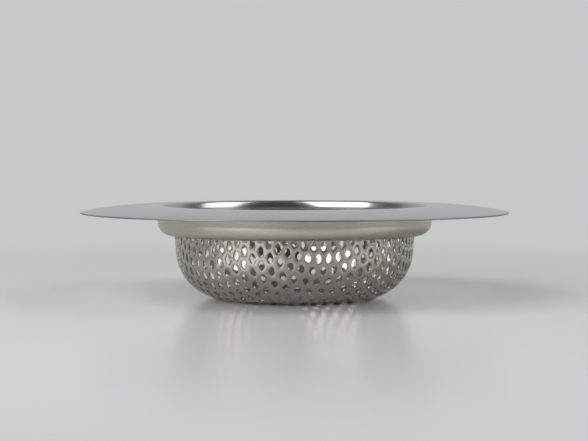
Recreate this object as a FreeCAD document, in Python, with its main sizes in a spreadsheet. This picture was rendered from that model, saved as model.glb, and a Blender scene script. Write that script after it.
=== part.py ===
import FreeCAD, Part
import math
import os

import Sketcher

# Sink strainer pressed from stainless sheet. The rim is a domed brim with a polished well in its middle.
# The basket is a cup drawn from punched sheet. Its turned-out top is clamped between the foot of the
# well and the collar ring, whose flange is spot welded to the brim from below.
# Sizes are in millimetres and degrees. +Z is up and the origin is the middle of the basket's floor.

SIZES = {
    "rim_diameter": 114.3,
    "overall_height": 25.0,
    "brim_drop": 1.65,
    "brim_flat_diameter": 79.0,
    "rim_sheet": 0.35,
    "rim_edge_break": 0.12,
    "lip_bend": 0.75,
    "lip_flare_angle": 18.0,
    "lip_flare_side": 0.1,
    "lip_flare_bend": 5.0,
    "collar_diameter": 73.4,
    "collar_height": 7.9,
    "collar_sheet": 0.5,
    "collar_corner_radius": 3.5,
    "collar_flange_diameter": 79.0,
    "collar_flange_bend": 0.5,
    "basket_top_diameter": 64.4,
    "basket_draft": 4.0,
    "basket_sheet": 0.4,
    "basket_foot_radius": 13.4,
    "basket_bend": 0.3,
    "basket_upstand": 4.5,
    "seat_gap": 0.02,
    "ledge_clearance": 0.05,
    "hole_diameter": 1.58,
    "hole_pitch": 2.853,
    "hole_overrun": 1.2,
    "lattice_turn": 11.95,
    "lattice_shift_across": 2.20,
    "lattice_shift_along": 0.42,
    "draw_stretch": 1.29,
    "hole_lengthening": 1.23,
}

# Heights and radii that several pieces share, as expressions on the sheet.
RIM_R = "sizes.rim_diameter / 2"
FLAT_R = "sizes.brim_flat_diameter / 2"
CROWN = "sizes.overall_height"
BRIM_UNDER = f"({CROWN} - sizes.rim_sheet)"
COLLAR_R = "sizes.collar_diameter / 2"
COLLAR_IN_R = f"({COLLAR_R} - sizes.collar_sheet)"
COLLAR_FOOT = f"({CROWN} - sizes.collar_height)"
COLLAR_LEDGE = f"({COLLAR_FOOT} + sizes.collar_sheet)"
COLLAR_TOP = f"({BRIM_UNDER} - sizes.seat_gap)"
BASKET_LIP_R = f"({COLLAR_IN_R} - sizes.seat_gap)"
BASKET_LIP_IN_R = f"({BASKET_LIP_R} - sizes.basket_sheet)"
BASKET_FLANGE = f"({COLLAR_LEDGE} + sizes.seat_gap)"
BASKET_FLANGE_TOP = f"({BASKET_FLANGE} + sizes.basket_sheet)"
BASKET_TOP_R = "sizes.basket_top_diameter / 2"
BASKET_FOOT_R = f"({BASKET_TOP_R} - {BASKET_FLANGE} * tan(sizes.basket_draft))"
WALL_STEP = "sizes.basket_sheet / cos(sizes.basket_draft)"
WELL_R = f"({BASKET_LIP_IN_R} - sizes.seat_gap)"
WELL_IN_R = f"({WELL_R} - sizes.rim_sheet)"
WELL_LEDGE = f"({BASKET_FLANGE_TOP} + sizes.seat_gap)"
WELL_FLOOR = f"({WELL_LEDGE} + sizes.rim_sheet)"
LEDGE_HOLE_R = f"({BASKET_TOP_R} + sizes.basket_bend + sizes.ledge_clearance)"

# The lip flares out from the well's straight side: a wide bend, a short slanting side, then a tight bend
# into the brim. The depth and the spread of the flare follow from these.
LIP_HALF_TURN = "(45 - sizes.lip_flare_angle / 2)"
FLARE_HALF_TURN = "(sizes.lip_flare_angle / 2)"
LIP_TANGENT = f"sizes.lip_bend * tan({LIP_HALF_TURN})"
FLARE_TANGENT = f"sizes.lip_flare_bend * tan({FLARE_HALF_TURN})"
FLARE_LENGTH = f"({LIP_TANGENT} + sizes.lip_flare_side + {FLARE_TANGENT})"
FLARE_FOOT = f"({CROWN} - {FLARE_LENGTH} * cos(sizes.lip_flare_angle))"
FLARE_FOOT_UNDER = f"({FLARE_FOOT} - sizes.rim_sheet * tan({FLARE_HALF_TURN}))"
LIP_R = f"({WELL_IN_R} + {FLARE_LENGTH} * sin(sizes.lip_flare_angle))"
LIP_UNDER_R = f"({LIP_R} + sizes.rim_sheet * tan({LIP_HALF_TURN}))"

# Radii of the nested corners at the collar's foot, from the outside in.
COLLAR_CORNER_IN = "(sizes.collar_corner_radius - sizes.collar_sheet)"
BASKET_CORNER = f"({COLLAR_CORNER_IN} - sizes.seat_gap)"
BASKET_CORNER_IN = f"({BASKET_CORNER} - sizes.basket_sheet)"
WELL_CORNER = f"({BASKET_CORNER_IN} - sizes.seat_gap)"
WELL_CORNER_IN = f"({WELL_CORNER} - sizes.rim_sheet)"


def make_sheet(doc):
    """Puts the driving sizes on a spreadsheet, one named cell each."""
    sheet = doc.addObject("Spreadsheet::Sheet", "sizes")
    for row, (name, value) in enumerate(SIZES.items(), start=1):
        sheet.set(f"A{row}", name)
        sheet.set(f"B{row}", str(value))
        sheet.setAlias(f"B{row}", name)
    doc.recompute()
    return sheet


def measure(sheet, expression):
    """Value of an expression on the sheet, in millimetres or degrees."""
    return float(sheet.evalExpression(expression))


def make_body(doc, name):
    """A body with an empty section sketch on its own XZ plane."""
    body = doc.addObject("PartDesign::Body", name)
    sketch = body.newObject("Sketcher::SketchObject", f"{name}_section")
    plane = next(item for item in body.Origin.OriginFeatures if item.Role == "XZ_Plane")
    sketch.AttachmentSupport = [(plane, "")]
    sketch.MapMode = "FlatFace"
    return body, sketch


def pin(sketch, geometry, point, axis, expression, value):
    """Holds one coordinate of a section's corner at an expression, or on the axis where it is zero."""
    if expression == "0":
        line = -2 if axis == "X" else -1
        sketch.addConstraint(Sketcher.Constraint("PointOnObject", geometry, point, line))
        return
    rule = Sketcher.Constraint(f"Distance{axis}", -1, 1, geometry, point, value)
    index = sketch.addConstraint(rule)
    label = f"corner{geometry}_{axis.lower()}"
    sketch.renameConstraint(index, label)
    sketch.setExpression(f"Constraints.{label}", expression)


def draw_section(sheet, sketch, corners):
    """Closed outline of straight lines through corners given as radius and height expressions."""
    spots = []
    for radius, height in corners:
        spots.append(FreeCAD.Vector(measure(sheet, radius), measure(sheet, height), 0))
    count = len(spots)
    for index, spot in enumerate(spots):
        sketch.addGeometry(Part.LineSegment(spot, spots[(index + 1) % count]))
    for index in range(count):
        sketch.addConstraint(Sketcher.Constraint("Coincident", index, 2, (index + 1) % count, 1))
    for index, (radius, height) in enumerate(corners):
        pin(sketch, index, 1, "X", radius, spots[index].x)
        pin(sketch, index, 1, "Y", height, spots[index].y)


def revolve(body, sketch):
    """Full turn of a section about the upright axis."""
    turned = body.newObject("PartDesign::Revolution", f"{body.Name}_turned")
    turned.Profile = sketch
    turned.ReferenceAxis = (sketch, ["V_Axis"])
    turned.Angle = 360
    sketch.Visibility = False
    body.Document.recompute()
    return turned


def ring_names(shape, radius, height=None):
    """Names of the circular edges about the upright axis with this radius, and at this height if given."""
    found = []
    for index, edge in enumerate(shape.Edges, start=1):
        if not isinstance(edge.Curve, Part.Circle):
            continue
        centre = edge.Curve.Center
        level = height is None or abs(centre.z - height) < 1e-4
        if abs(edge.Curve.Radius - radius) < 1e-4 and level and math.hypot(centre.x, centre.y) < 1e-4:
            found.append(f"Edge{index}")
    return found


def round_ring(sheet, body, name, radius, height, bend):
    """Rounds the circular corner at a radius and height by a bend radius, all given as expressions."""
    base = body.Tip
    level = None if height is None else measure(sheet, height)
    fillet = body.newObject("PartDesign::Fillet", name)
    fillet.Base = (base, ring_names(base.Shape, measure(sheet, radius), level))
    fillet.setExpression("Radius", bend)
    body.Document.recompute()


def make_rim(doc, sheet):
    """Domed brim, flared lip, well and turned-in ledge as one pressed sheet."""
    body, sketch = make_body(doc, "rim")
    corners = [
        (LIP_R, CROWN),
        (FLAT_R, CROWN),
        (FLAT_R, BRIM_UNDER),
        (LIP_UNDER_R, BRIM_UNDER),
        (WELL_R, FLARE_FOOT_UNDER),
        (WELL_R, WELL_LEDGE),
        (LEDGE_HOLE_R, WELL_LEDGE),
        (LEDGE_HOLE_R, WELL_FLOOR),
        (WELL_IN_R, WELL_FLOOR),
        (WELL_IN_R, FLARE_FOOT),
    ]
    draw_section(sheet, sketch, corners)
    add_dome(sheet, sketch)
    revolve(body, sketch)
    lip_under = "sizes.lip_bend - sizes.rim_sheet"
    flare_under = "sizes.lip_flare_bend - sizes.rim_sheet"
    round_ring(sheet, body, "well_lip", LIP_R, CROWN, "sizes.lip_bend")
    round_ring(sheet, body, "well_lip_under", LIP_UNDER_R, BRIM_UNDER, lip_under)
    round_ring(sheet, body, "well_flare", WELL_IN_R, FLARE_FOOT, "sizes.lip_flare_bend")
    round_ring(sheet, body, "well_flare_under", WELL_R, FLARE_FOOT_UNDER, flare_under)
    round_ring(sheet, body, "well_foot", WELL_R, WELL_LEDGE, WELL_CORNER)
    round_ring(sheet, body, "well_foot_inside", WELL_IN_R, WELL_FLOOR, WELL_CORNER_IN)
    round_ring(sheet, body, "brim_edge", RIM_R, None, "sizes.rim_edge_break")
    return body


def add_dome(sheet, sketch):
    """Opens the flat's outer end and carries the sheet on to the brim's edge in two arcs about one centre."""
    inner = measure(sheet, FLAT_R)
    outer = measure(sheet, RIM_R)
    crown = measure(sheet, CROWN)
    drop = measure(sheet, "sizes.brim_drop")
    under = measure(sheet, BRIM_UNDER)
    radius = ((outer - inner) ** 2 + drop ** 2) / (2 * drop)
    centre = FreeCAD.Vector(inner, crown - radius, 0)
    low = centre.y + math.sqrt((under - centre.y) ** 2 - (outer - inner) ** 2)
    end_line = 1
    upright = FreeCAD.Vector(0, 0, 1)
    large = Part.Circle(centre, upright, radius)
    small = Part.Circle(centre, upright, under - centre.y)
    start = math.pi / 2 - math.asin((outer - inner) / large.Radius)
    top = sketch.addGeometry(Part.ArcOfCircle(large, start, math.pi / 2))
    start = math.pi / 2 - math.asin((outer - inner) / small.Radius)
    bottom = sketch.addGeometry(Part.ArcOfCircle(small, start, math.pi / 2))
    sketch.toggleConstruction(end_line)
    edge = Part.LineSegment(FreeCAD.Vector(outer, crown - drop, 0), FreeCAD.Vector(outer, low, 0))
    rim_edge = sketch.addGeometry(edge)
    for first, first_end, second, second_end in (
        (top, 2, 0, 2),
        (bottom, 2, 2, 1),
        (top, 1, rim_edge, 1),
        (bottom, 1, rim_edge, 2),
        (top, 3, bottom, 3),
    ):
        sketch.addConstraint(Sketcher.Constraint("Coincident", first, first_end, second, second_end))
    sketch.addConstraint(Sketcher.Constraint("Vertical", rim_edge))
    pin(sketch, rim_edge, 1, "X", RIM_R, outer)
    pin(sketch, rim_edge, 1, "Y", f"{CROWN} - sizes.brim_drop", crown - drop)
    pin(sketch, top, 3, "X", FLAT_R, inner)


def make_collar(doc, sheet):
    """Outer ring: short flange under the brim, straight side, rounded corner and turned-in ledge."""
    body, sketch = make_body(doc, "collar_ring")
    flange_under = f"({COLLAR_TOP} - sizes.collar_sheet)"
    flange_r = "sizes.collar_flange_diameter / 2"
    corners = [
        (flange_r, COLLAR_TOP),
        (flange_r, flange_under),
        (COLLAR_R, flange_under),
        (COLLAR_R, COLLAR_FOOT),
        (LEDGE_HOLE_R, COLLAR_FOOT),
        (LEDGE_HOLE_R, COLLAR_LEDGE),
        (COLLAR_IN_R, COLLAR_LEDGE),
        (COLLAR_IN_R, COLLAR_TOP),
    ]
    draw_section(sheet, sketch, corners)
    revolve(body, sketch)
    outer_bend = "sizes.collar_flange_bend"
    inner_bend = "sizes.collar_flange_bend + sizes.collar_sheet"
    round_ring(sheet, body, "collar_bend", COLLAR_R, flange_under, outer_bend)
    round_ring(sheet, body, "collar_bend_inside", COLLAR_IN_R, COLLAR_TOP, inner_bend)
    round_ring(sheet, body, "collar_corner", COLLAR_R, COLLAR_FOOT, "sizes.collar_corner_radius")
    round_ring(sheet, body, "collar_corner_inside", COLLAR_IN_R, COLLAR_LEDGE, COLLAR_CORNER_IN)
    return body


def make_cup(doc, sheet):
    """The basket as drawn, before its holes: floor, rounded foot, side, flange and upstand."""
    body, sketch = make_body(doc, "drawn_cup")
    upstand_top = f"({BASKET_FLANGE} + sizes.basket_upstand)"
    inner_top_r = f"{BASKET_FOOT_R} + {BASKET_FLANGE_TOP} * tan(sizes.basket_draft) - {WALL_STEP}"
    inner_foot_r = f"{BASKET_FOOT_R} + sizes.basket_sheet * tan(sizes.basket_draft) - {WALL_STEP}"
    corners = [
        ("0", "0"),
        (BASKET_FOOT_R, "0"),
        (BASKET_TOP_R, BASKET_FLANGE),
        (BASKET_LIP_R, BASKET_FLANGE),
        (BASKET_LIP_R, upstand_top),
        (BASKET_LIP_IN_R, upstand_top),
        (BASKET_LIP_IN_R, BASKET_FLANGE_TOP),
        (inner_top_r, BASKET_FLANGE_TOP),
        (inner_foot_r, "sizes.basket_sheet"),
        ("0", "sizes.basket_sheet"),
    ]
    draw_section(sheet, sketch, corners)
    revolve(body, sketch)
    foot = "sizes.basket_foot_radius"
    bend = "sizes.basket_bend"
    round_ring(sheet, body, "foot", BASKET_FOOT_R, "0", foot)
    round_ring(sheet, body, "foot_inside", inner_foot_r, "sizes.basket_sheet", f"{foot} - sizes.basket_sheet")
    round_ring(sheet, body, "bend", BASKET_TOP_R, BASKET_FLANGE, bend)
    round_ring(sheet, body, "bend_inside", inner_top_r, BASKET_FLANGE_TOP, f"{bend} + sizes.basket_sheet")
    round_ring(sheet, body, "lip_corner", BASKET_LIP_R, BASKET_FLANGE, BASKET_CORNER)
    round_ring(sheet, body, "lip_corner_inside", BASKET_LIP_IN_R, BASKET_FLANGE_TOP, BASKET_CORNER_IN)
    return body


class DrawnSide:
    """Outer outline of the drawn cup, followed from the middle of the floor up the side."""

    def __init__(self, sheet):
        self.draft = math.radians(sheet.basket_draft)
        self.foot = sheet.basket_foot_radius
        self.stretch = sheet.draw_stretch
        self.lengthening = sheet.hole_lengthening
        spread = self.foot * (1 - math.sin(self.draft)) / math.cos(self.draft)
        self.floor_r = measure(sheet, BASKET_FOOT_R) - spread
        self.turn = math.pi / 2 - self.draft

    def spot(self, blank_r):
        """Radius, height and lean of the spot where a point of the flat blank ends up after drawing."""
        if blank_r <= self.floor_r:
            return blank_r, 0.0, 0.0
        along = (blank_r - self.floor_r) * self.stretch
        lean = min(along / self.foot, self.turn)
        radius = self.floor_r + self.foot * math.sin(lean)
        height = self.foot * (1 - math.cos(lean))
        rest = along - self.foot * lean
        return radius + rest * math.cos(lean), height + rest * math.sin(lean), lean

    def drawn(self, blank_r):
        """How far a spot was drawn, from nought on the floor to one on the side."""
        return max(0.0, min((blank_r - self.floor_r) / self.foot, 1.0))


def blank_lattice(sheet, reach):
    """Hole centres on the flat blank, in staggered rows, out to a reach from its middle."""
    pitch = sheet.hole_pitch
    row_step = pitch * math.sqrt(3) / 2
    turn = math.radians(sheet.lattice_turn)
    rows = int(reach / row_step) + 2
    for row in range(-rows, rows + 1):
        along = row * row_step + sheet.lattice_shift_along
        for column in range(-2 * rows, 2 * rows + 1):
            across = (column + row / 2) * pitch + sheet.lattice_shift_across
            if math.hypot(across, along) <= reach:
                x = across * math.cos(turn) - along * math.sin(turn)
                y = across * math.sin(turn) + along * math.cos(turn)
                yield math.hypot(x, y), math.atan2(y, x)


def hole_outline(centre, up, across):
    """Ellipse about a centre with two half axes."""
    long, short = (up, across) if up.Length >= across.Length else (across, up)
    return Part.Wire(Part.Ellipse(centre + long, centre + short, centre).toShape())


def pointed_outline(centre, up, across):
    """Outline of two arcs that meet in a point at both ends."""
    right = Part.Arc(centre - up, centre + across, centre + up).toShape()
    left = Part.Arc(centre + up, centre - across, centre - up).toShape()
    return Part.Wire([right, left])


def make_punch(sheet, side, blank_r, angle):
    """Cutter for one hole: round on the floor, stretched on the foot and drawn to points on the side."""
    radius, height, lean = side.spot(blank_r)
    outward = FreeCAD.Vector(math.cos(angle), math.sin(angle), 0)
    around = FreeCAD.Vector(-math.sin(angle), math.cos(angle), 0)
    normal = outward * math.sin(lean) - FreeCAD.Vector(0, 0, math.cos(lean))
    upward = outward * math.cos(lean) + FreeCAD.Vector(0, 0, math.sin(lean))
    length = 4 * sheet.basket_sheet
    centre = outward * radius + FreeCAD.Vector(0, 0, height) + normal * length / 2
    half = sheet.hole_diameter / 2
    if blank_r <= side.floor_r:
        return Part.makeCylinder(half, length, centre, -normal)
    drawn = side.drawn(blank_r)
    across = around * half * radius / blank_r
    up = upward * half * side.stretch * (1 + (side.lengthening - 1) * drawn)
    trace = pointed_outline if drawn == 1 else hole_outline
    return Part.Face(trace(centre, up, across)).extrude(-normal * length)


def make_basket(doc, sheet):
    """Drawn cup with its punched holes, which run up behind the collar's lower edge."""
    cup = make_cup(doc, sheet)
    side = DrawnSide(sheet)
    top = measure(sheet, COLLAR_FOOT) + sheet.hole_overrun
    reach = side.floor_r
    while side.spot(reach)[1] < top:
        reach += sheet.hole_pitch / 100
    punches = doc.addObject("Part::Feature", "punches")
    cutters = [make_punch(sheet, side, *spot) for spot in blank_lattice(sheet, reach)]
    punches.Shape = Part.makeCompound(cutters)
    basket = doc.addObject("Part::Cut", "perforated_basket")
    basket.Base = cup
    basket.Tool = punches
    doc.recompute()
    print("holes", len(cutters))
    return basket


def main():
    doc = FreeCAD.newDocument("sink_strainer")
    sheet = make_sheet(doc)
    pieces = [make_rim(doc, sheet), make_collar(doc, sheet), make_basket(doc, sheet)]
    doc.recompute()
    for item in doc.Objects:
        if "Invalid" in item.State or "Error" in item.State:
            raise RuntimeError(f"{item.Name} did not compute: {item.State}")
    os.makedirs("parts", exist_ok=True)
    for piece in pieces:
        piece.Label = piece.Name
        shape = piece.Shape
        if shape.isNull() or not shape.isValid() or len(shape.Solids) != 1:
            raise RuntimeError(f"{piece.Label} is not one valid solid")
        shape.exportStep(f"parts/{piece.Label}.step")
        print(piece.Label, round(shape.Volume, 1), "mm3", shape.BoundBox)


main()
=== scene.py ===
import math

import bmesh
import bpy
from mathutils import Matrix, Vector


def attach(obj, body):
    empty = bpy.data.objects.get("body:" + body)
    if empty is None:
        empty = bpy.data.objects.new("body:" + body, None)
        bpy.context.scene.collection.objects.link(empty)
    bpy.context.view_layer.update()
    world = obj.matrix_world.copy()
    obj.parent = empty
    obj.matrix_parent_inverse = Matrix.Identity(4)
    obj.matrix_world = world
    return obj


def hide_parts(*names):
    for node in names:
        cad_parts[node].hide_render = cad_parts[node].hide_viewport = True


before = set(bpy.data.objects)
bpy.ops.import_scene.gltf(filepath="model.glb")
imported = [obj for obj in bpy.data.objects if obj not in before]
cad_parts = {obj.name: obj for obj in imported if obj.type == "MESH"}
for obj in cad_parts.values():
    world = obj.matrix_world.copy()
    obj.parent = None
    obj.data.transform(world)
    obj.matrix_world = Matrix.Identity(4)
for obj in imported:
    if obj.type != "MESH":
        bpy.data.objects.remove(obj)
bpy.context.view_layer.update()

bl_info = {
    "name": "Sink Strainer",
    "version": (1, 0, 0),
    "blender": (4, 5, 0),
    "location": "3D View > Sidebar > Strainer",
    "description": "Builds a sink strainer with a polished rim, a satin collar and a punched basket",
    "category": "Add Mesh",
}

MM = 0.001

# Counts and small lengths of the meshes.
RIM_STEPS = 256
RING_STEPS = 224
TURNED_CREASE = 40
PUNCHED_CREASE = 55
SAME_POINT = 1e-7
LEDGE_ROUND = 0.12 * MM
SEAM_BENDS = 1.4

# Punched sheet: faces round a hole, from its outer face to its inner face.
SEGMENTS = 12
RINGS = 5
ROLL_WIDTH = 1.4
POINT_DRAW = 0.42
LATTICE_MARGIN = 1.4
CELL_MERGE = 2e-6
FOLD_MERGE = 1e-6
FOLDED_AREA = 2e-11
END_SLACK = 0.002 * MM
FEWEST_FACES = 1000

# Radii on the rim where its gloss changes, and where its cut edge turns duller and its colour is
# darkened as painted shade.
WELL_TO_BRIM = (39.3 * MM, 40.8 * MM)
FACE_TO_SHADED_EDGE = (57.02 * MM, 57.13 * MM)

# Stage: the table's size and fade, the panels' distance and the room's ranges of direction.
TABLE_RADIUS = 2.5
TABLE_STEPS = 96
TABLE_GAP = 0.01 * MM
TABLE_FADE = (0.11, 0.28)
TABLE_SPECULAR = 0.35
PANEL_DISTANCE = 0.75
CAMERA_YAW = 0.00038
FRONT_TO_SIDE = (-0.88, -0.4)
SIDE_TO_BACK = (0.15, 0.7)
WALL_TO_CEILING = (0.65, 0.95)


def length(label, note, millimetres):
    """A size property in metres, written in millimetres."""
    return bpy.props.FloatProperty(
        name=label, description=note, default=millimetres * MM, min=0.0, precision=6, unit="LENGTH"
    )


def colour(label, note, value):
    """A linear colour property."""
    return bpy.props.FloatVectorProperty(
        name=label, description=note, default=value, min=0.0, max=1.0, size=3, subtype="COLOR"
    )


def share(label, note, value):
    """A property between nought and one."""
    return bpy.props.FloatProperty(
        name=label, description=note, default=value, min=0.0, max=1.0, subtype="FACTOR"
    )


class StrainerSizes(bpy.types.PropertyGroup):
    """Sizes of the three pressed pieces."""

    rim_diameter: length("Rim diameter", "Across the brim's cut edge", 114.3)
    overall_height: length("Overall height", "From the basket's floor to the crown of the brim", 25.0)
    brim_drop: length("Brim drop", "How far the brim's edge lies below its crown", 1.65)
    brim_flat: length("Brim flat", "Diameter of the level part of the brim", 79.0)
    rim_sheet: length("Rim sheet", "Thickness of the rim's sheet", 0.35)
    edge_break: length("Edge break", "Rounding of the brim's cut edge", 0.12)
    lip_bend: length("Lip bend", "Radius where the brim turns down into the lip's flare", 0.75)
    lip_flare_side: length("Flare side", "Straight side of the flare between its two bends", 0.1)
    lip_flare_bend: length("Flare bend", "Radius where the flare turns into the well's side", 5.0)
    lip_flare_angle: bpy.props.FloatProperty(
        name="Flare angle",
        description="Lean of the lip's flare",
        default=math.radians(18.0),
        subtype="ANGLE",
    )
    collar_diameter: length("Collar diameter", "Across the collar's straight side", 73.4)
    collar_height: length("Collar height", "From the crown down to the collar's foot", 7.9)
    collar_sheet: length("Collar sheet", "Thickness of the collar's sheet", 0.5)
    collar_corner: length("Collar corner", "Outer radius of the collar's lower corner", 3.5)
    collar_flange: length("Collar flange", "Diameter of the flange under the brim", 79.0)
    collar_bend: length("Collar bend", "Outer radius between the collar's side and its flange", 0.5)
    basket_top: length("Basket top", "Diameter of the basket's side where it turns out", 64.4)
    basket_sheet: length("Basket sheet", "Thickness of the punched sheet", 0.4)
    basket_foot: length("Basket foot", "Outer radius between the basket's side and floor", 13.4)
    basket_bend: length("Basket bend", "Outer radius where the side turns out", 0.3)
    basket_upstand: length("Basket upstand", "How far the clamped top stands above its flange", 4.5)
    seat_gap: length("Seat gap", "Gap between the nested sheets", 0.02)
    ledge_clearance: length("Ledge clearance", "Room between the ledges and the basket's bend", 0.05)
    basket_draft: bpy.props.FloatProperty(
        name="Basket draft",
        description="Lean of the basket's side",
        default=math.radians(4.0),
        subtype="ANGLE",
    )


class StrainerHoles(bpy.types.PropertyGroup):
    """Punched holes of the basket, as they lie on the flat blank."""

    diameter: length("Hole diameter", "Punch diameter", 1.58)
    pitch: length("Hole pitch", "Distance between neighbouring holes on the blank", 2.853)
    roll: length("Edge roll", "Depth of the rounded edge on the punched side", 0.09)
    shift_across: length("Shift across", "Place of the lattice along its rows", 2.20)
    shift_along: length("Shift along", "Place of the lattice across its rows", 0.42)
    stretch: bpy.props.FloatProperty(
        name="Draw stretch",
        description="How much longer the side is than the blank",
        default=1.29,
        min=1.0,
    )
    pinch: share("Pinch", "How far drawing pulls the holes to points", 0.55)
    turn: bpy.props.FloatProperty(
        name="Lattice turn",
        description="Turn of the rows on the blank",
        default=math.radians(11.95),
        subtype="ANGLE",
    )


class StrainerFinish(bpy.types.PropertyGroup):
    """Colours and gloss of the steel."""

    polished: colour("Polished steel", "Reflected colour of the rim", (0.60, 0.61, 0.63))
    satin: colour("Satin steel", "Reflected colour of the collar", (0.575, 0.545, 0.465))
    punched: colour("Punched steel", "Reflected colour of the basket", (0.54, 0.52, 0.474))
    brim_gloss: share("Brim roughness", "Roughness of the brim", 0.22)
    well_gloss: share("Well roughness", "Roughness of the polished well", 0.2)
    collar_gloss: share("Collar roughness", "Roughness of the collar", 0.32)
    basket_gloss: share("Basket roughness", "Roughness of the basket's outer side", 0.18)
    inside_gloss: share("Inside roughness", "Roughness of the basket's inner side", 0.06)


class StrainerStage(bpy.types.PropertyGroup):
    """Camera and studio."""

    distance: length("Camera distance", "From the strainer's axis to the camera", 420.0)
    eye_height: length("Eye height", "Camera height above the table", 40.2)
    lens: bpy.props.FloatProperty(
        name="Lens", description="Focal length on a 36 mm frame", default=95.76, min=1.0
    )
    tilt: bpy.props.FloatProperty(
        name="Tilt",
        description="Downward tilt of the camera",
        default=math.radians(2.645),
        subtype="ANGLE",
    )
    table: colour("Table", "Colour of the table top", (0.86, 0.865, 0.875))
    table_gloss: share("Table roughness", "Roughness of the table top", 0.195)
    backdrop: colour("Backdrop", "Colour behind the table", (0.572, 0.580, 0.582))
    room_front: colour("Room front", "Room in front, as the metal reflects it", (0.065, 0.055, 0.04))
    room_side: colour("Room sides", "Room at both sides, as the metal reflects it", (0.16, 0.15, 0.135))
    ceiling: colour("Ceiling", "Ceiling, as the metal reflects it", (0.16, 0.15, 0.135))
    ambient: colour("Ambient", "Even light from all round", (0.03, 0.03, 0.03))


# Levels and radii that several pieces share.

def levels(sizes):
    """Heights and radii of the clamped joint, worked out from the sizes."""
    lay = {}
    lay["crown"] = sizes.overall_height
    lay["brim_under"] = lay["crown"] - sizes.rim_sheet
    lay["collar_r"] = sizes.collar_diameter / 2
    lay["collar_in"] = lay["collar_r"] - sizes.collar_sheet
    lay["collar_foot"] = lay["crown"] - sizes.collar_height
    lay["collar_ledge"] = lay["collar_foot"] + sizes.collar_sheet
    lay["corner_r"] = lay["collar_r"] - sizes.collar_corner
    lay["corner_z"] = lay["collar_foot"] + sizes.collar_corner
    lay["lip_r"] = lay["collar_in"] - sizes.seat_gap
    lay["lip_in"] = lay["lip_r"] - sizes.basket_sheet
    lay["flange"] = lay["collar_ledge"] + sizes.seat_gap
    lay["flange_top"] = lay["flange"] + sizes.basket_sheet
    lay["well_r"] = lay["lip_in"] - sizes.seat_gap
    lay["well_in"] = lay["well_r"] - sizes.rim_sheet
    lay["well_ledge"] = lay["flange_top"] + sizes.seat_gap
    lay["well_floor"] = lay["well_ledge"] + sizes.rim_sheet
    lay["top_r"] = sizes.basket_top / 2
    lay["ledge_hole"] = lay["top_r"] + sizes.basket_bend + sizes.ledge_clearance
    lay["foot_r"] = lay["top_r"] - lay["flange"] * math.tan(sizes.basket_draft)
    draft = sizes.basket_draft
    lay["floor_r"] = lay["foot_r"] - sizes.basket_foot * (1 - math.sin(draft)) / math.cos(draft)
    lay["turn"] = math.pi / 2 - draft
    return lay


def arc(centre_r, centre_z, radius, start, end, steps):
    """Points along an arc of a section, with the angles in degrees."""
    points = []
    for step in range(steps + 1):
        angle = math.radians(start + (end - start) * step / steps)
        points.append((centre_r + radius * math.cos(angle), centre_z + radius * math.sin(angle)))
    return points


def lathe(name, section, segments):
    """Mesh of a closed section, given as radius and height, turned about the upright axis."""
    outline = [
        point for index, point in enumerate(section) if math.dist(point, section[index - 1]) > SAME_POINT
    ]
    shape = bmesh.new()
    rings = []
    for radius, height in outline:
        ring = []
        for step in range(segments):
            angle = 2 * math.pi * step / segments
            ring.append(shape.verts.new((radius * math.cos(angle), radius * math.sin(angle), height)))
        rings.append(ring)
    for index, ring in enumerate(rings):
        before = rings[index - 1]
        for step in range(segments):
            after = (step + 1) % segments
            shape.faces.new((before[step], before[after], ring[after], ring[step]))
    bmesh.ops.recalc_face_normals(shape, faces=shape.faces)
    mesh = bpy.data.meshes.new(name)
    shape.to_mesh(mesh)
    shape.free()
    return mesh


def smooth(mesh, angle):
    """Smooth shading with creases above an angle in degrees."""
    mesh.shade_smooth()
    mesh.set_sharp_from_angle(angle=math.radians(angle))


def place(name, mesh, material, node):
    """Puts a finished mesh in the scene in place of its solid."""
    piece = bpy.data.objects.new(name, mesh)
    bpy.context.scene.collection.objects.link(piece)
    mesh.materials.clear()
    mesh.materials.append(material)
    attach(piece, "root")
    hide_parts(node)
    return piece


# Sections of the turned pieces.

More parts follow.
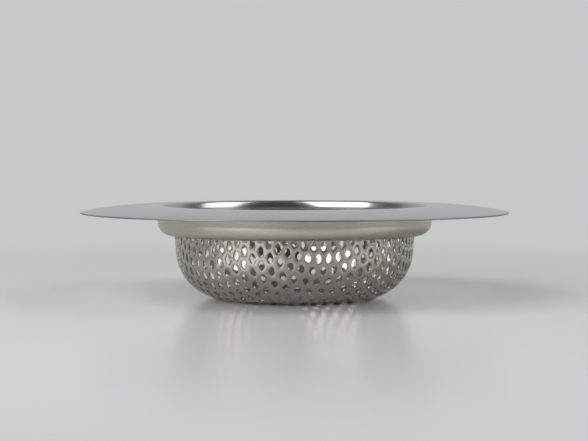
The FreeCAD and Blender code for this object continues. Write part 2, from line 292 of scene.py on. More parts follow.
def rim_section(sizes):
    """Brim, lip, well and ledge: along the upper side, then back along the underside."""
    lay = levels(sizes)
    flat_r = sizes.brim_flat / 2
    rim_r = sizes.rim_diameter / 2
    reach = rim_r - flat_r
    dome = (reach ** 2 + sizes.brim_drop ** 2) / (2 * sizes.brim_drop)
    dome_z = lay["crown"] - dome
    flare = sizes.lip_flare_angle
    lip_tangent = sizes.lip_bend * math.tan(math.pi / 4 - flare / 2)
    flare_tangent = sizes.lip_flare_bend * math.tan(flare / 2)
    flare_side = lip_tangent + sizes.lip_flare_side + flare_tangent
    lip = (lay["well_in"] + flare_side * math.sin(flare) + lip_tangent, lay["crown"] - sizes.lip_bend)
    flare_z = lay["crown"] - flare_side * math.cos(flare) - flare_tangent
    flare_foot = (lay["well_in"] + sizes.lip_flare_bend, flare_z)
    flare_end = 180 - math.degrees(flare)
    under = dome - sizes.rim_sheet
    round_off = sizes.edge_break
    upper_end = math.degrees(math.acos((reach - round_off) / dome))
    lower_end = math.degrees(math.acos((reach - round_off) / under))
    corner = lay["well_r"] - lay["corner_r"]
    inner = lay["well_in"] - lay["corner_r"]
    edge_top = lay["crown"] - sizes.brim_drop - round_off
    edge_low = dome_z + math.sqrt(under ** 2 - reach ** 2) + round_off
    points = [(lay["ledge_hole"], lay["well_floor"])]
    points += arc(lay["corner_r"], lay["corner_z"], inner, -90, 0, 12)
    points += arc(*flare_foot, sizes.lip_flare_bend, 180, flare_end, 8)
    points += arc(*lip, sizes.lip_bend, flare_end, 90, 12)
    points += arc(flat_r, dome_z, dome, 90, upper_end, 28)
    points += arc(rim_r - round_off, edge_top, round_off, 75, 0, 5)
    points += arc(rim_r - round_off, edge_low, round_off, 0, -105, 5)
    points += arc(flat_r, dome_z, under, lower_end, 90, 28)
    points += arc(*lip, sizes.lip_bend - sizes.rim_sheet, 90, flare_end, 12)
    points += arc(*flare_foot, sizes.lip_flare_bend - sizes.rim_sheet, flare_end, 180, 8)
    points += arc(lay["corner_r"], lay["corner_z"], corner, 0, -90, 12)
    points += [(lay["ledge_hole"], lay["well_ledge"])]
    return points


def collar_section(sizes):
    """Flange, straight side, rounded corner and ledge: down the outside, then up the inside."""
    lay = levels(sizes)
    top = lay["brim_under"] - sizes.seat_gap
    bend = sizes.collar_bend
    bend_r = lay["collar_r"] + bend
    bend_z = top - sizes.collar_sheet - bend
    points = [(sizes.collar_flange / 2, top), (sizes.collar_flange / 2, top - sizes.collar_sheet)]
    points += arc(bend_r, bend_z, bend, 90, 180, 8)
    points += arc(lay["corner_r"], lay["corner_z"], sizes.collar_corner, 0, -90, 20)
    points += arc(
        lay["ledge_hole"] + LEDGE_ROUND, lay["collar_foot"] + LEDGE_ROUND, LEDGE_ROUND, 270, 180, 4
    )
    points += [(lay["ledge_hole"], lay["collar_ledge"])]
    points += arc(lay["corner_r"], lay["corner_z"], sizes.collar_corner - sizes.collar_sheet, -90, 0, 16)
    points += arc(bend_r, bend_z, bend + sizes.collar_sheet, 180, 90, 8)
    return points


def basket_top_section(sizes, start_z):
    """Plain top of the basket from a height on its side: bend, flange, corner and upstand."""
    lay = levels(sizes)
    draft = math.degrees(sizes.basket_draft)
    bend = sizes.basket_bend
    sheet = sizes.basket_sheet
    bend_z = lay["flange"] - bend
    lean = math.tan(sizes.basket_draft)
    bend_r = lay["foot_r"] + bend_z * lean + bend / math.cos(sizes.basket_draft)
    start_r = lay["foot_r"] + start_z * lean
    outer = lay["lip_r"] - lay["corner_r"]
    inner = lay["lip_in"] - lay["corner_r"]
    top = lay["flange"] + sizes.basket_upstand
    points = [(start_r, start_z)]
    points += arc(bend_r, bend_z, bend, 180 - draft, 90, 8)
    points += arc(lay["corner_r"], lay["corner_z"], outer, -90, 0, 12)
    points += [(lay["lip_r"], top), (lay["lip_in"], top)]
    points += arc(lay["corner_r"], lay["corner_z"], inner, 0, -90, 12)
    points += arc(bend_r, bend_z, bend + sheet, 90, 180 - draft, 8)
    inset = sheet * math.cos(sizes.basket_draft)
    lift = sheet * math.sin(sizes.basket_draft)
    points += [(start_r - inset, start_z + lift)]
    return points


# Punched sheet as a node tree.

class Field:
    """A number on a node tree, so that sums of nodes read as sums."""

    def __init__(self, tree, socket):
        self.tree = tree
        self.socket = socket

    def math(self, operation, *others):
        node = self.tree.nodes.new("ShaderNodeMath")
        node.operation = operation
        for index, value in enumerate((self, *others)):
            if isinstance(value, Field):
                self.tree.links.new(value.socket, node.inputs[index])
            else:
                node.inputs[index].default_value = value
        return Field(self.tree, node.outputs[0])

    def __add__(self, other):
        return self.math("ADD", other)

    def __sub__(self, other):
        return self.math("SUBTRACT", other)

    def __mul__(self, other):
        return self.math("MULTIPLY", other)

    def __truediv__(self, other):
        return self.math("DIVIDE", other)

    def sin(self):
        return self.math("SINE")

    def cos(self):
        return self.math("COSINE")

    def least(self, other):
        return self.math("MINIMUM", other)

    def most(self, other):
        return self.math("MAXIMUM", other)

    def above(self, other):
        return self.math("GREATER_THAN", other)

    def power(self, other):
        return self.math("POWER", other)

    def size(self):
        return self.math("ABSOLUTE")


class SheetTree:
    """Builder of a geometry node tree with named number inputs."""

    def __init__(self, name):
        self.tree = bpy.data.node_groups.new(name, "GeometryNodeTree")
        self.tree.interface.new_socket("Geometry", in_out="OUTPUT", socket_type="NodeSocketGeometry")
        self.entry = None
        self.sockets = {}
        self.values = {}

    def declare(self, **values):
        """Adds the named inputs with their values, then the node that gives them to the tree."""
        for name, value in values.items():
            kind = "NodeSocketInt" if isinstance(value, int) else "NodeSocketFloat"
            self.sockets[name] = self.tree.interface.new_socket(
                name.replace("_", " ").capitalize(), in_out="INPUT", socket_type=kind
            )
        self.entry = self.tree.nodes.new("NodeGroupInput")
        self.values = values

    def given(self, name):
        """The input of this name."""
        return Field(self.tree, self.entry.outputs[self.sockets[name].name])

    def node(self, kind, **inputs):
        """A node with its inputs linked or set by name."""
        node = self.tree.nodes.new(kind)
        for name, value in inputs.items():
            self.feed(node, name.replace("_", " "), value)
        return node

    def feed(self, node, name, value):
        """Links or sets one input of a node."""
        socket = next(
            item for item in node.inputs if item.name.lower() == name.lower() and item.enabled
        )
        if isinstance(value, Field):
            self.tree.links.new(value.socket, socket)
        elif isinstance(value, bpy.types.NodeSocket):
            self.tree.links.new(value, socket)
        else:
            socket.default_value = value

    def split(self, vector):
        """The three parts of a vector."""
        node = self.node("ShaderNodeSeparateXYZ", Vector=vector)
        return [Field(self.tree, output) for output in node.outputs]

    def join(self, x, y, z):
        """A vector of three parts."""
        return self.node("ShaderNodeCombineXYZ", X=x, Y=y, Z=z).outputs[0]

    def position(self):
        """Place of each point."""
        return self.node("GeometryNodeInputPosition").outputs[0]

    def fit(self, piece):
        """Puts the tree on an object as a modifier and sets its inputs."""
        modifier = piece.modifiers.new(self.tree.name, "NODES")
        modifier.node_group = self.tree
        for name, value in self.values.items():
            modifier[self.sockets[name].identifier] = value
        return modifier


def hole_cell(build):
    """One hexagonal cell of sheet round a hole, as a strip of rings from its outer to its inner face."""
    pitch = build.given("pitch")
    half = build.given("hole_diameter") / 2.0
    grid = build.node("GeometryNodeMeshGrid", Size_X=float(SEGMENTS), Size_Y=float(RINGS - 1))
    grid.inputs["Vertices X"].default_value = SEGMENTS + 1
    grid.inputs["Vertices Y"].default_value = RINGS
    step, ring, _ = build.split(build.position())
    ring = ring + (RINGS - 1) / 2
    angle = (step + SEGMENTS / 2) * (2 * math.pi / SEGMENTS)
    sector = (angle + math.pi / 6).math("FLOORED_MODULO", math.pi / 3) - math.pi / 6
    hexagon = pitch / 2.0 / sector.cos()
    on_border = (ring - 2.0).size().above(1.5)
    on_land = (ring - 1.0).size().math("LESS_THAN", 0.5)
    hole = half + on_land * build.given("edge_roll") * ROLL_WIDTH
    radius = hole + (hexagon - hole) * on_border
    depth = ring.above(1.5) * build.given("edge_roll")
    depth = depth + ring.above(2.5) * (build.given("sheet") - build.given("edge_roll"))
    place_at = build.join(radius * angle.cos(), radius * angle.sin(), depth)
    strip = grid.outputs["Mesh"]
    marks = {
        # hole_wall also marks the hole walls whose colour the finish darkens as painted shade.
        "hole_wall": (ring - 2.5).size().math("LESS_THAN", 0.75),
        # inner_side also marks the inner side whose colour the finish lightens as painted light.
        "inner_side": ring.above(2.5),
        "hole_rings": on_border.math("LESS_THAN", 0.5),
    }
    for name, value in marks.items():
        marked = build.node("GeometryNodeStoreNamedAttribute", Geometry=strip, Name=name)
        build.feed(marked, "Value", value)
        strip = marked.outputs[0]
    return build.node("GeometryNodeSetPosition", Geometry=strip, Position=place_at).outputs[0]


def hole_lattice(build):
    """Hole centres on the flat blank in staggered rows, a little past the blank's reach."""
    rows = build.given("rows")
    pitch = build.given("pitch")
    across_count = rows * 2.0 + 1.0
    index = Field(build.tree, build.node("GeometryNodeInputIndex").outputs[0])
    row = (index / across_count).math("FLOOR") - rows
    column = index.math("FLOORED_MODULO", across_count) - rows
    across = (column + row / 2.0) * pitch + build.given("shift_across")
    along = row * pitch * (math.sqrt(3) / 2) + build.given("shift_along")
    points = build.node(
        "GeometryNodePoints", Count=across_count * across_count, Position=build.join(across, along, 0.0)
    )
    x, y, _ = build.split(build.position())
    spread = (x * x + y * y).math("SQRT")
    kept = build.node("GeometryNodeDeleteGeometry", Geometry=points.outputs[0])
    build.feed(kept, "Selection", spread.above(build.given("reach") + pitch))
    kept.domain = "POINT"
    noted = build.node("GeometryNodeStoreNamedAttribute", Geometry=kept.outputs[0], Name="hole_centre")
    noted.data_type = "FLOAT_VECTOR"
    build.feed(noted, "Value", build.position())
    return noted.outputs[0]


def pinch_holes(build, geometry):
    """Draws the rims of the holes on the side to points along its height, as the pressed sheet does."""
    centre = build.node("GeometryNodeInputNamedAttribute", Name="hole_centre")
    centre.data_type = "FLOAT_VECTOR"
    ringed = build.node("GeometryNodeInputNamedAttribute", Name="hole_rings")
    on_ring = Field(build.tree, ringed.outputs[0])
    cx, cy, _ = build.split(centre.outputs[0])
    x, y, depth = build.split(build.position())
    spread = (cx * cx + cy * cy).math("SQRT").most(1e-6)
    ex = cx / spread
    ey = cy / spread
    dx = x - cx
    dy = y - cy
    up = dx * ex + dy * ey
    side = dy * ex - dx * ey
    reach = (dx * dx + dy * dy).math("SQRT").most(1e-7)
    drawn = ((spread - build.given("floor_radius")) / build.given("foot_radius")).most(0.0).least(1.0)
    amount = drawn * build.given("pinch") * on_ring
    narrow = (side.size() / reach).most(1e-4).power(amount)
    side = side * narrow
    up = up * (amount * POINT_DRAW + 1.0)
    moved = build.join(cx + up * ex - side * ey, cy + up * ey + side * ex, depth)
    return build.node("GeometryNodeSetPosition", Geometry=geometry, Position=moved).outputs[0]


def draw_cup(build, geometry):
    """Presses the flat punched sheet to the basket's floor, rounded foot and leaning side."""
    x, y, depth = build.split(build.position())
    turn = build.given("lattice_turn")
    rx = x * turn.cos() - y * turn.sin()
    ry = x * turn.sin() + y * turn.cos()
    spread = (rx * rx + ry * ry).math("SQRT").most(1e-7)
    ex = rx / spread
    ey = ry / spread
    blank = spread.least(build.given("reach"))
    floor = build.given("floor_radius")
    foot = build.given("foot_radius")
    along = (blank - floor).most(0.0) * build.given("stretch")
    lean = (along / foot).least(build.given("side_turn"))
    rest = along - foot * lean
    radius = blank.least(floor) + foot * lean.sin() + rest * lean.cos() - depth * lean.sin()
    height = foot * (lean.cos() * -1.0 + 1.0) + rest * lean.sin() + depth * lean.cos()
    drawn = build.join(radius * ex, radius * ey, height)
    return build.node("GeometryNodeSetPosition", Geometry=geometry, Position=drawn).outputs[0]


def punched_sheet_tree(material, **values):
    """Node tree of the punched and drawn sheet."""
    build = SheetTree("Punched sheet")
    build.declare(**values)
    cells = build.node(
        "GeometryNodeInstanceOnPoints", Points=hole_lattice(build), Instance=hole_cell(build)
    )
    sheet = build.node("GeometryNodeRealizeInstances", Geometry=cells.outputs[0])
    whole = build.node("GeometryNodeMergeByDistance", Geometry=sheet.outputs[0], Distance=CELL_MERGE)
    drawn = draw_cup(build, pinch_holes(build, whole.outputs[0]))
    area = build.node("GeometryNodeInputMeshFaceArea").outputs[0]
    thin = Field(build.tree, area).math("LESS_THAN", FOLDED_AREA)
    trimmed = build.node("GeometryNodeDeleteGeometry", Geometry=drawn, Selection=thin)
    trimmed.domain = "FACE"
    sealed = build.node(
        "GeometryNodeMergeByDistance", Geometry=trimmed.outputs[0], Distance=FOLD_MERGE
    )
    turned = build.node("GeometryNodeFlipFaces", Mesh=sealed.outputs[0])
    even = build.node("GeometryNodeSetShadeSmooth", Geometry=turned.outputs[0])
    real = build.node("GeometryNodeRealizeInstances", Geometry=even.outputs[0])
    coated = build.node("GeometryNodeSetMaterial", Geometry=real.outputs[0])
    coated.inputs["Material"].default_value = material
    exit_node = build.tree.nodes.new("NodeGroupOutput")
    build.tree.links.new(coated.outputs[0], exit_node.inputs[0])
    return build


def close_end(shape, lay, draft, end_z):
    """Takes away the faces folded onto the punched sheet's upper end and caps that end."""
    end_r = lay["foot_r"] + end_z * math.tan(draft)

    def at_end(vert):
        out = math.hypot(vert.co.x, vert.co.y) - end_r
        return out * math.sin(draft) + (vert.co.z - end_z) * math.cos(draft) > -END_SLACK

    folded = [face for face in shape.faces if all(at_end(vert) for vert in face.verts)]
    bmesh.ops.delete(shape, geom=folded, context="FACES")
    border = [edge for edge in shape.edges if edge.is_boundary]
    bmesh.ops.triangle_fill(shape, use_beauty=True, edges=border, normal=(0.0, 0.0, 1.0))
    bmesh.ops.recalc_face_normals(shape, faces=shape.faces)
    if shape.calc_volume(signed=True) < 0.0:
        bmesh.ops.reverse_faces(shape, faces=shape.faces)


# Finishes.

class Finish:
    """Builder of a metal material on object coordinates."""

    def __init__(self, name, tint):
        self.material = bpy.data.materials.new(name)
        self.material.use_nodes = True
        self.tree = self.material.node_tree
        self.shader = self.tree.nodes["Principled BSDF"]
        self.shader.inputs["Metallic"].default_value = 1.0
        self.shader.inputs["Base Color"].default_value = (*tint, 1.0)
        self.tint = tint
        self.where = self.tree.nodes.new("ShaderNodeTexCoord").outputs["Object"]

    def add(self, kind, **settings):
        """A node with its settings."""
        node = self.tree.nodes.new(kind)
        for name, value in settings.items():
            setattr(node, name, value)
        return node

    def link(self, source, node, name):
        """Links a socket to a node's input."""
        self.tree.links.new(source, node.inputs[name])

    def noise(self, vector, scale, detail=2.0, roughness=0.5):
        """Noise between nought and one."""
        node = self.add("ShaderNodeTexNoise")
        node.inputs["Scale"].default_value = scale
        node.inputs["Detail"].default_value = detail
        node.inputs["Roughness"].default_value = roughness
        self.link(vector, node, "Vector")
        return node.outputs["Fac"]

    def spread(self, value, low, high, start=0.0, end=1.0):
        """Maps a value from a range to another."""
        node = self.add("ShaderNodeMapRange")
        node.inputs["From Min"].default_value = start
        node.inputs["From Max"].default_value = end
        node.inputs["To Min"].default_value = low
        node.inputs["To Max"].default_value = high
        self.link(value, node, "Value")
        return node.outputs["Result"]

    def sum(self, operation, first, second):
        """Result of an operation on two numbers or sockets."""
        node = self.add("ShaderNodeMath", operation=operation)
        for index, value in enumerate((first, second)):
            if isinstance(value, float):
                node.inputs[index].default_value = value
            else:
                self.tree.links.new(value, node.inputs[index])
        return node.outputs[0]

    def polar(self):
        """Distance from the upright axis, turn about it and height."""
        parts = self.add("ShaderNodeSeparateXYZ")
        self.link(self.where, parts, "Vector")
        x, y, z = parts.outputs
        squares = self.sum("ADD", self.sum("MULTIPLY", x, x), self.sum("MULTIPLY", y, y))
        radius = self.sum("SQRT", squares, 0.0)
        turn = self.sum("ARCTAN2", y, x)
        return radius, turn, z

    def vector(self, x, y, z):
        """A vector of three numbers or sockets."""
        node = self.add("ShaderNodeCombineXYZ")
        for index, value in enumerate((x, y, z)):
            if isinstance(value, float):
                node.inputs[index].default_value = value
            else:
                self.tree.links.new(value, node.inputs[index])
        return node.outputs[0]

    def tone(self, factor, dark, light):
        """Base colour between a darker and a lighter shade of the tint."""
        node = self.add("ShaderNodeMix", data_type="RGBA")
        self.tree.links.new(factor, node.inputs[0])
        node.inputs[6].default_value = (*[channel * dark for channel in self.tint], 1.0)
        node.inputs[7].default_value = (*[channel * light for channel in self.tint], 1.0)
        return node.outputs[2]

    def lines(self, across, density, along, stretch):
        """Fine drawn-out lines: dense across one coordinate and long along another."""
        crowded = self.sum("MULTIPLY", across, density)
        slow = self.sum("MULTIPLY", along, stretch)
        return self.noise(self.vector(crowded, slow, 0.0), 1.0, 3.0)

    def bump(self, height, strength, distance, below=None):
        """Normal of a relief, laid over another relief if there is one."""
        node = self.add("ShaderNodeBump")
        node.inputs["Strength"].default_value = strength
        node.inputs["Distance"].default_value = distance
        self.link(height, node, "Height")
        if below is not None:
            self.link(below, node, "Normal")
        return node.outputs["Normal"]


def polished_finish(finish):
    """Rim: soft polish with fine turned lines and a duller cut edge, whose colour is darkened as painted
    shade.
    """
    coat = Finish("polished_rim_steel", finish.polished)
    radius, turn, _ = coat.polar()
    lines = coat.lines(radius, 9000.0, turn, 1.2)
    smears = coat.noise(coat.where, 90.0, 4.0, 0.6)
    base = coat.spread(radius, finish.well_gloss, finish.brim_gloss, *WELL_TO_BRIM)
    edge = coat.spread(radius, 0.0, 1.0, *FACE_TO_SHADED_EDGE)
    rough = coat.sum("ADD", base, coat.spread(smears, -0.03, 0.03, 0.3, 0.7))
    rough = coat.sum("ADD", rough, coat.spread(lines, -0.02, 0.02, 0.3, 0.7))
    rough = coat.sum("ADD", rough, coat.sum("MULTIPLY", edge, 0.2))
    coat.link(rough, coat.shader, "Roughness")
    # Painted shade: the cut edge's mask darkens the base colour; the smears vary it at random.
    shade = coat.spread(coat.sum("SUBTRACT", smears, edge), 0.0, 1.0, -0.5, 1.0)
    coat.link(coat.tone(shade, 0.45, 1.02), coat.shader, "Base Color")
    waves = coat.noise(coat.where, 38.0, 1.0)
    soft = coat.bump(waves, 0.25, 0.00012)
    coat.link(coat.bump(lines, 0.06, 0.00001, soft), coat.shader, "Normal")
    return coat.material


def satin_finish(finish):
    """Collar: satin with drawn-out lines round its side."""
    coat = Finish("satin_collar_steel", finish.satin)
    _, turn, height = coat.polar()
    lines = coat.lines(height, 7000.0, turn, 2.0)
    patches = coat.noise(coat.where, 120.0, 4.0, 0.6)
    rough = coat.sum("ADD", coat.spread(patches, -0.05, 0.05, 0.3, 0.7), finish.collar_gloss)
    rough = coat.sum("ADD", rough, coat.spread(lines, -0.04, 0.04, 0.3, 0.7))
    coat.link(rough, coat.shader, "Roughness")
    coat.link(coat.tone(patches, 0.93, 1.04), coat.shader, "Base Color")
    waves = coat.noise(coat.where, 60.0, 1.0)
    soft = coat.bump(waves, 0.3, 0.0001)
    coat.link(coat.bump(lines, 0.12, 0.00001, soft), coat.shader, "Normal")
    coat.shader.inputs["Anisotropic"].default_value = 0.6
    around = coat.add("ShaderNodeTangent", direction_type="RADIAL", axis="Z")
    coat.link(around.outputs[0], coat.shader, "Tangent")
    return coat.material


def punched_finish(finish):
    """Basket: wavy drawn sheet, smoother inside, with the hole walls darkened as painted shade and the
    inner side lightened as painted light.
    """
    coat = Finish("punched_basket_steel", finish.punched)
    rough_shaded_wall = coat.add("ShaderNodeAttribute", attribute_name="hole_wall").outputs["Fac"]
    grain = coat.noise(coat.where, 900.0, 4.0, 0.6)
    patches = coat.noise(coat.where, 140.0, 3.0, 0.6)
    inner = coat.add("ShaderNodeAttribute", attribute_name="inner_side").outputs["Fac"]
    base = coat.spread(inner, finish.basket_gloss, finish.inside_gloss)
    rough = coat.sum("ADD", coat.spread(patches, -0.02, 0.03, 0.3, 0.7), base)
    rough = coat.sum("ADD", rough, coat.spread(grain, -0.02, 0.02, 0.3, 0.7))
    rough = coat.sum("ADD", rough, coat.sum("MULTIPLY", rough_shaded_wall, 0.06))
    coat.link(rough, coat.shader, "Roughness")
    shade = coat.spread(patches, 0.41, 0.63, 0.3, 0.7)
    # Painted shade: the hole walls are darkened.
    shade = coat.sum("SUBTRACT", shade, coat.sum("MULTIPLY", rough_shaded_wall, 0.3))
    # Painted light: the inner side is lightened.
    shade = coat.sum("ADD", shade, coat.sum("MULTIPLY", inner, 0.25))
    coat.link(coat.tone(shade, 0.45, 1.25), coat.shader, "Base Color")
    waves = coat.bump(coat.noise(coat.where, 220.0, 1.5), 0.5, 0.0006)
    coat.link(coat.bump(grain, 0.08, 0.00001, waves), coat.shader, "Normal")
    return coat.material


def smooth_step(tree, value, start, end):
    """Rises smoothly from nought to one while a value goes from start to end."""
    node = tree.nodes.new("ShaderNodeMapRange")
    node.interpolation_type = "SMOOTHSTEP"
    node.inputs["From Min"].default_value = start
    node.inputs["From Max"].default_value = end
    tree.links.new(value, node.inputs["Value"])
    return node.outputs["Result"]


def table_finish(stage):
    """Glossy pale table that runs out into the colour of the backdrop all round."""
    material = bpy.data.materials.new("pale_table")
    material.use_nodes = True
    tree = material.node_tree
    shader = tree.nodes["Principled BSDF"]
    shader.inputs["Base Color"].default_value = (*stage.table, 1.0)
    shader.inputs["Roughness"].default_value = stage.table_gloss
    shader.inputs["Specular IOR Level"].default_value = TABLE_SPECULAR
    where = tree.nodes.new("ShaderNodeTexCoord")
    spread = tree.nodes.new("ShaderNodeVectorMath")
    spread.operation = "LENGTH"
    tree.links.new(where.outputs["Object"], spread.inputs[0])
    far = smooth_step(tree, spread.outputs["Value"], *TABLE_FADE)
    path = tree.nodes.new("ShaderNodeLightPath")
    seen = tree.nodes.new("ShaderNodeMath")
    seen.operation = "MAXIMUM"
    tree.links.new(path.outputs["Is Camera Ray"], seen.inputs[0])
    tree.links.new(path.outputs["Is Glossy Ray"], seen.inputs[1])
    share_far = tree.nodes.new("ShaderNodeMath")
    share_far.operation = "MULTIPLY"
    tree.links.new(far, share_far.inputs[0])
    tree.links.new(seen.outputs[0], share_far.inputs[1])
    glow = tree.nodes.new("ShaderNodeEmission")
    glow.inputs["Color"].default_value = (*stage.backdrop, 1.0)
    both = tree.nodes.new("ShaderNodeMixShader")
    tree.links.new(share_far.outputs[0], both.inputs[0])
    tree.links.new(shader.outputs[0], both.inputs[1])
    tree.links.new(glow.outputs[0], both.inputs[2])
    tree.links.new(both.outputs[0], tree.nodes["Material Output"].inputs["Surface"])
    return material


# Operators.

class STRAINER_OT_rim(bpy.types.Operator):
    """Makes the domed rim with its polished well"""

    bl_idname = "strainer.rim"
    bl_label = "Rim"

    def execute(self, context):
        scene = context.scene
        mesh = lathe("rim_shell", rim_section(scene.strainer_sizes), RIM_STEPS)
        smooth(mesh, TURNED_CREASE)
        place("rim_shell", mesh, polished_finish(scene.strainer_finish), "rim")
        return {"FINISHED"}


class STRAINER_OT_collar(bpy.types.Operator):
    """Makes the satin collar ring under the brim"""

    bl_idname = "strainer.collar"
    bl_label = "Collar ring"

    def execute(self, context):
        scene = context.scene
        mesh = lathe("collar_band", collar_section(scene.strainer_sizes), RING_STEPS)
        smooth(mesh, TURNED_CREASE)
        place("collar_band", mesh, satin_finish(scene.strainer_finish), "collar_ring")
        return {"FINISHED"}


class STRAINER_OT_basket(bpy.types.Operator):
    """Makes the drawn basket of punched sheet"""

    bl_idname = "strainer.basket"
    bl_label = "Punched basket"

    def execute(self, context):
        scene = context.scene
        sizes = scene.strainer_sizes
        holes = scene.strainer_holes
        lay = levels(sizes)
        material = punched_finish(scene.strainer_finish)
        side_z = lay["flange"] - SEAM_BENDS * sizes.basket_bend
        foot_z = sizes.basket_foot * (1 - math.cos(lay["turn"]))
        side_length = (side_z - foot_z) / math.sin(lay["turn"])
        reach = lay["floor_r"] + (sizes.basket_foot * lay["turn"] + side_length) / holes.stretch
        build = punched_sheet_tree(
            material,
            rows=int(LATTICE_MARGIN * reach / holes.pitch) + 3,
            pitch=holes.pitch,
            hole_diameter=holes.diameter,
            sheet=sizes.basket_sheet,
            edge_roll=holes.roll,
            shift_across=holes.shift_across,
            shift_along=holes.shift_along,
            reach=reach,
            floor_radius=lay["floor_r"],
            foot_radius=sizes.basket_foot,
            side_turn=lay["turn"],
            stretch=holes.stretch,
            lattice_turn=holes.turn,
            pinch=holes.pinch,
        )
        maker = bpy.data.objects.new("punched_sheet", bpy.data.meshes.new("punched_sheet"))
        scene.collection.objects.link(maker)
        modifier = build.fit(maker)
        graph = context.evaluated_depsgraph_get()
        field = bpy.data.meshes.new_from_object(maker.evaluated_get(graph))
        if len(field.polygons) < FEWEST_FACES:
            raise RuntimeError("the punched sheet came out empty")
        maker.modifiers.remove(modifier)
        bpy.data.objects.remove(maker)
        for helper in ("hole_centre", "hole_rings"):
            field.attributes.remove(field.attributes[helper])
        top = lathe("basket_top", basket_top_section(sizes, side_z), RING_STEPS)
        shape = bmesh.new()
        shape.from_mesh(field)
        close_end(shape, lay, sizes.basket_draft, side_z)
        shape.from_mesh(top)
        mesh = bpy.data.meshes.new("basket_shell")
        shape.to_mesh(mesh)
        shape.free()
        smooth(mesh, PUNCHED_CREASE)
        place("basket_shell", mesh, material, "perforated_basket")
        return {"FINISHED"}


class STRAINER_OT_stage(bpy.types.Operator):
    """Makes the table, the lights and the camera"""

    bl_idname = "strainer.stage"
    bl_label = "Studio"

    def execute(self, context):
        scene = context.scene
        stage = scene.strainer_stage
        make_table(scene, stage)
        make_lights(scene)
        make_world(scene, stage)
        make_camera(scene, stage)
        scene.view_settings.view_transform = "Standard"
        return {"FINISHED"}


def make_table(scene, stage):
    """Round table top, wide enough to run past every view and a hair below the basket's floor."""
    shape = bmesh.new()
    below = Matrix.Translation((0.0, 0.0, -TABLE_GAP))
    bmesh.ops.create_circle(
        shape, cap_ends=True, radius=TABLE_RADIUS, segments=TABLE_STEPS, matrix=below
    )
    bmesh.ops.recalc_face_normals(shape, faces=shape.faces)
    mesh = bpy.data.meshes.new("table_top")
    shape.to_mesh(mesh)
    shape.free()
    mesh.materials.append(table_finish(stage))
    table = bpy.data.objects.new("table_top", mesh)
    scene.collection.objects.link(table)


def add_panel(scene, name, azimuth, elevation, width, height, power, tint):
    """One soft light panel that faces the strainer, placed in degrees right of the camera and up."""
    lamp = bpy.data.lights.new(name, "AREA")
    lamp.shape = "RECTANGLE"
    lamp.size = width
    lamp.size_y = height
    lamp.energy = power
    lamp.color = tint
    panel = bpy.data.objects.new(name, lamp)
    turn = math.radians(azimuth)
    lift = math.radians(elevation)
    away = Vector((math.cos(lift) * math.sin(turn), -math.cos(lift) * math.cos(turn), math.sin(lift)))
    panel.location = PANEL_DISTANCE * away
    panel.rotation_euler = (-away).to_track_quat("-Z", "Y").to_euler()
    panel.visible_camera = False
    scene.collection.objects.link(panel)


def make_lights(scene):
    """Wide window-like panel at the front left and a narrower one at the right."""
    add_panel(scene, "left_panel", -46, 34, 0.75, 0.71, 5.8, (1.0, 1.0, 1.0))
    add_panel(scene, "right_panel", 74, 32, 0.52, 0.69, 2.3, (1.0, 0.99, 0.97))


def mix_colours(tree, share_of_second, first, second):
    """Mix of two colours, each a colour or a node's output."""
    node = tree.nodes.new("ShaderNodeMix")
    node.data_type = "RGBA"
    tree.links.new(share_of_second, node.inputs[0])
    for index, value in ((6, first), (7, second)):
        if isinstance(value, bpy.types.NodeSocket):
            tree.links.new(value, node.inputs[index])
        else:
            node.inputs[index].default_value = (*value, 1.0)
    return node.outputs[2]


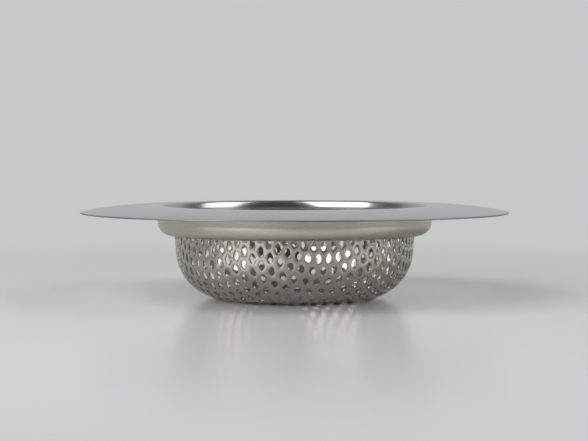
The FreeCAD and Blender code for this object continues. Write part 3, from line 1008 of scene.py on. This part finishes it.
def make_world(scene, stage):
    """Pale backdrop all round, and a room in the metal's reflections that darkens towards the front."""
    world = bpy.data.worlds.new("studio_room")
    world.use_nodes = True
    tree = world.node_tree
    where = tree.nodes.new("ShaderNodeTexCoord")
    parts = tree.nodes.new("ShaderNodeSeparateXYZ")
    tree.links.new(where.outputs["Generated"], parts.inputs[0])
    beside = smooth_step(tree, parts.outputs["Y"], *FRONT_TO_SIDE)
    behind = smooth_step(tree, parts.outputs["Y"], *SIDE_TO_BACK)
    overhead = smooth_step(tree, parts.outputs["Z"], *WALL_TO_CEILING)
    room = mix_colours(tree, beside, stage.room_front, stage.room_side)
    room = mix_colours(tree, behind, room, stage.backdrop)
    room = mix_colours(tree, overhead, room, stage.ceiling)
    path = tree.nodes.new("ShaderNodeLightPath")
    light = mix_colours(tree, path.outputs["Is Glossy Ray"], stage.ambient, room)
    light = mix_colours(tree, path.outputs["Is Camera Ray"], light, stage.backdrop)
    tree.links.new(light, tree.nodes["Background"].inputs["Color"])
    scene.world = world


def make_camera(scene, stage):
    """Low camera at the picture's viewing angle."""
    lens = bpy.data.cameras.new("low_view")
    lens.sensor_fit = "HORIZONTAL"
    lens.sensor_width = 36.0
    lens.lens = stage.lens
    lens.clip_start = 0.01
    camera = bpy.data.objects.new("low_view", lens)
    camera.location = (0.0, -stage.distance, stage.eye_height)
    camera.rotation_euler = (math.pi / 2 - stage.tilt, 0.0, CAMERA_YAW)
    scene.collection.objects.link(camera)
    scene.camera = camera


class STRAINER_PT_panel(bpy.types.Panel):
    """Lists the pieces of the strainer"""

    bl_idname = "STRAINER_PT_panel"
    bl_label = "Strainer"
    bl_space_type = "VIEW_3D"
    bl_region_type = "UI"
    bl_category = "Strainer"

    def draw(self, context):
        for operator in OPERATORS:
            self.layout.operator(operator.bl_idname)


GROUPS = {
    "strainer_sizes": StrainerSizes,
    "strainer_holes": StrainerHoles,
    "strainer_finish": StrainerFinish,
    "strainer_stage": StrainerStage,
}
OPERATORS = (STRAINER_OT_rim, STRAINER_OT_collar, STRAINER_OT_basket, STRAINER_OT_stage)


def register():
    """Adds the property groups, operators and panel."""
    for name, group in GROUPS.items():
        bpy.utils.register_class(group)
        setattr(bpy.types.Scene, name, bpy.props.PointerProperty(type=group))
    for item in (*OPERATORS, STRAINER_PT_panel):
        bpy.utils.register_class(item)


def unregister():
    """Takes them out again."""
    for item in (STRAINER_PT_panel, *reversed(OPERATORS)):
        bpy.utils.unregister_class(item)
    for name, group in GROUPS.items():
        delattr(bpy.types.Scene, name)
        bpy.utils.unregister_class(group)


def main():
    """Builds the strainer and its studio."""
    register()
    bpy.ops.strainer.rim()
    bpy.ops.strainer.collar()
    bpy.ops.strainer.basket()
    bpy.ops.strainer.stage()


if __name__ == "__main__":
    main()
